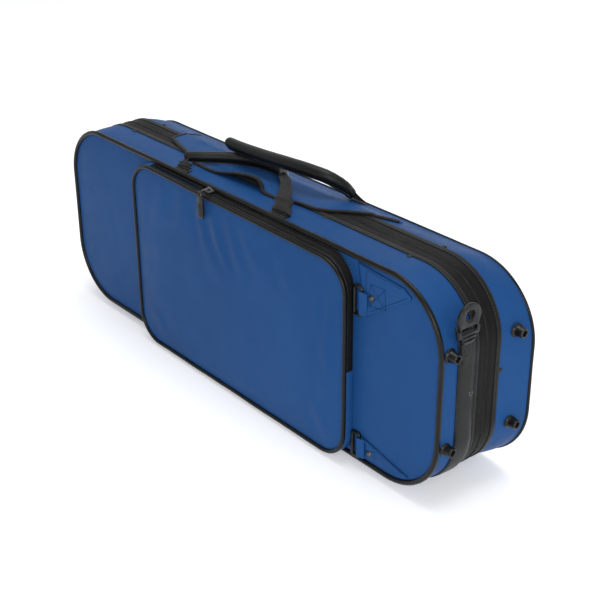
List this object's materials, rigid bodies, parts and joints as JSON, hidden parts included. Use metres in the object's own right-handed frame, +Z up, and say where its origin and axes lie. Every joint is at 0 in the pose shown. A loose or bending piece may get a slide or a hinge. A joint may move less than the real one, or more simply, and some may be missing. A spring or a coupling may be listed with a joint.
{
  "type": "violin case",
  "caption": "Oblong zip-up violin case in woven fabric with piped edges, front music pocket, twin carry grips, strap rings and rubber feet, standing on its spine.",
  "frame": {"origin": "bottom centre of the bounding box, on the floor the spine feet stand on", "axes": "+X along the case to the end with the four feet, +Y from the pocket side through to the back panel, +Z up"},
  "size_m": [0.8114, 0.1662, 0.3385],
  "materials": {
    "blue_nylon": "coated woven nylon, soft sheen",
    "black_trim": "woven binding and webbing",
    "vinyl": "smooth black vinyl",
    "plush": "short pile lining",
    "foam_bed": "foam covered in pile",
    "shell_board": "thin laminated board",
    "plastic_black": "moulded, slightly glossy",
    "zip_coil": "nylon coil",
    "foot_rubber": "moulded rubber",
    "dark_steel": "antique nickel",
    "grip_pad": "padded sleeve"
  },
  "bodies": {
    "base": {"base_shell": "shell_board", "base_back_panel": "blue_nylon", "base_gusset": "blue_nylon", "base_piping": "vinyl", "base_binding": "black_trim", "base_zip_tape": "black_trim", "base_zip_coil": "zip_coil", "base_spine_hinge": "black_trim", "base_lining": "plush", "violin_bed": "foam_bed", "neck_cradle": "foam_bed", "neck_strap": "black_trim", "accessory_box": "plush", "base_feet": "foot_rubber", "base_foot_screws": "dark_steel", "base_rim_rivets": "plastic_black", "handle_flap": "blue_nylon", "flap_binding": "black_trim", "base_handle_anchors": "black_trim"},
    "lid": {"lid_shell": "shell_board", "lid_front_panel": "blue_nylon", "lid_gusset": "blue_nylon", "lid_piping": "vinyl", "lid_binding": "black_trim", "lid_zip_tape": "black_trim", "lid_zip_coil": "zip_coil", "lid_spine_hinge": "black_trim", "lid_lining": "plush", "lid_feet": "foot_rubber", "lid_foot_screws": "dark_steel", "lid_rim_rivets": "plastic_black", "lid_handle_anchors": "black_trim", "end_strips": "vinyl", "strap_keepers": "plastic_black", "pack_tabs": "blue_nylon", "tab_rivets": "dark_steel", "bow_clip_blocks": "foam_bed", "bow_tip_sleeves": "black_trim", "pocket_front": "blue_nylon", "pocket_piping": "vinyl", "pocket_gusset": "blue_nylon", "pocket_zip_tape": "black_trim", "pocket_zip_coil": "zip_coil"},
    "far_handle": {"far_grip": "grip_pad", "far_webbing": "black_trim"},
    "near_handle": {"near_grip": "grip_pad", "near_webbing": "black_trim"},
    "strap_ring_right": {"strap_ring_right": "plastic_black"},
    "strap_ring_left": {"strap_ring_left": "plastic_black"},
    "pack_ring_upper": {"pack_ring_upper": "plastic_black"},
    "pack_ring_lower": {"pack_ring_lower": "plastic_black"},
    "pocket_slider": {"pocket_slider": "plastic_black"},
    "pocket_pull": {"pocket_pull": "plastic_black"},
    "zip_slider_upper": {"zip_slider_upper": "plastic_black"},
    "zip_slider_lower": {"zip_slider_lower": "plastic_black"},
    "zip_pull_upper": {"zip_pull_upper": "plastic_black"},
    "zip_pull_lower": {"zip_pull_lower": "plastic_black"},
    "bow_clip_upper": {"bow_clip_upper": "plastic_black"},
    "bow_clip_lower": {"bow_clip_lower": "plastic_black"},
    "accessory_lid": {"accessory_lid": "plush"}
  },
  "joints": [
    {"name": "lid_hinge", "type": "hinge", "parent": "base", "child": "lid", "pos_m": [-0.0023, 0.0117, 0.013], "axis": [1, 0, 0], "range_deg": [0, 105]},
    {"name": "far_handle_swing", "type": "hinge", "parent": "base", "child": "far_handle", "pos_m": [-0.0023, 0.0637, 0.294], "axis": [1, 0, 0], "range_deg": [-110, 0]},
    {"name": "near_handle_swing", "type": "hinge", "parent": "lid", "child": "near_handle", "pos_m": [-0.0023, -0.0413, 0.294], "axis": [1, 0, 0], "range_deg": [0, 105]},
    {"name": "strap_ring_right_swing", "type": "hinge", "parent": "lid", "child": "strap_ring_right", "pos_m": [0.3983, -0.0293, 0.239], "axis": [0, 1, 0], "range_deg": [0, 130]},
    {"name": "strap_ring_left_swing", "type": "hinge", "parent": "lid", "child": "strap_ring_left", "pos_m": [-0.4029, -0.0293, 0.167], "axis": [0, 1, 0], "range_deg": [0, 130]},
    {"name": "pack_ring_upper_swing", "type": "hinge", "parent": "lid", "child": "pack_ring_upper", "pos_m": [0.2617, -0.0621, 0.236], "axis": [0, 0, 1], "range_deg": [0, 120]},
    {"name": "pack_ring_lower_swing", "type": "hinge", "parent": "lid", "child": "pack_ring_lower", "pos_m": [0.2617, -0.0621, 0.035], "axis": [0, 0, 1], "range_deg": [0, 120]},
    {"name": "pocket_slider_travel", "type": "slide", "parent": "lid", "child": "pocket_slider", "axis": [1, 0, 0], "range_m": [-0.125, 0.225]},
    {"name": "pocket_pull_swing", "type": "hinge", "parent": "pocket_slider", "child": "pocket_pull", "pos_m": [-0.0298, -0.0809, 0.2889], "axis": [1, 0, 0], "range_deg": [-120, 0]},
    {"name": "zip_slider_upper_travel", "type": "slide", "parent": "base", "child": "zip_slider_upper", "axis": [0, 0, 1], "range_m": [0, 0.012]},
    {"name": "zip_slider_lower_travel", "type": "slide", "parent": "base", "child": "zip_slider_lower", "axis": [0, 0, 1], "range_m": [-0.012, 0]},
    {"name": "zip_pull_upper_swing", "type": "hinge", "parent": "zip_slider_upper", "child": "zip_pull_upper", "pos_m": [-0.4032, 0.0117, 0.17912], "axis": [0, 1, 0], "range_deg": [0, 120]},
    {"name": "zip_pull_lower_swing", "type": "hinge", "parent": "zip_slider_lower", "child": "zip_pull_lower", "pos_m": [-0.4032, 0.0117, 0.11288], "axis": [0, 1, 0], "range_deg": [0, 120]},
    {"name": "bow_clip_upper_turn", "type": "hinge", "parent": "lid", "child": "bow_clip_upper", "pos_m": [0.2477, -0.0383, 0.194], "axis": [0, 1, 0], "range_deg": [0, 90]},
    {"name": "bow_clip_lower_turn", "type": "hinge", "parent": "lid", "child": "bow_clip_lower", "pos_m": [0.2477, -0.0383, 0.108], "axis": [0, 1, 0], "range_deg": [0, 90]},
    {"name": "accessory_lid_hinge", "type": "hinge", "parent": "base", "child": "accessory_lid", "pos_m": [-0.2363, 0.0219, 0.217], "axis": [0, 0, 1], "range_deg": [0, 100]}
  ]
}
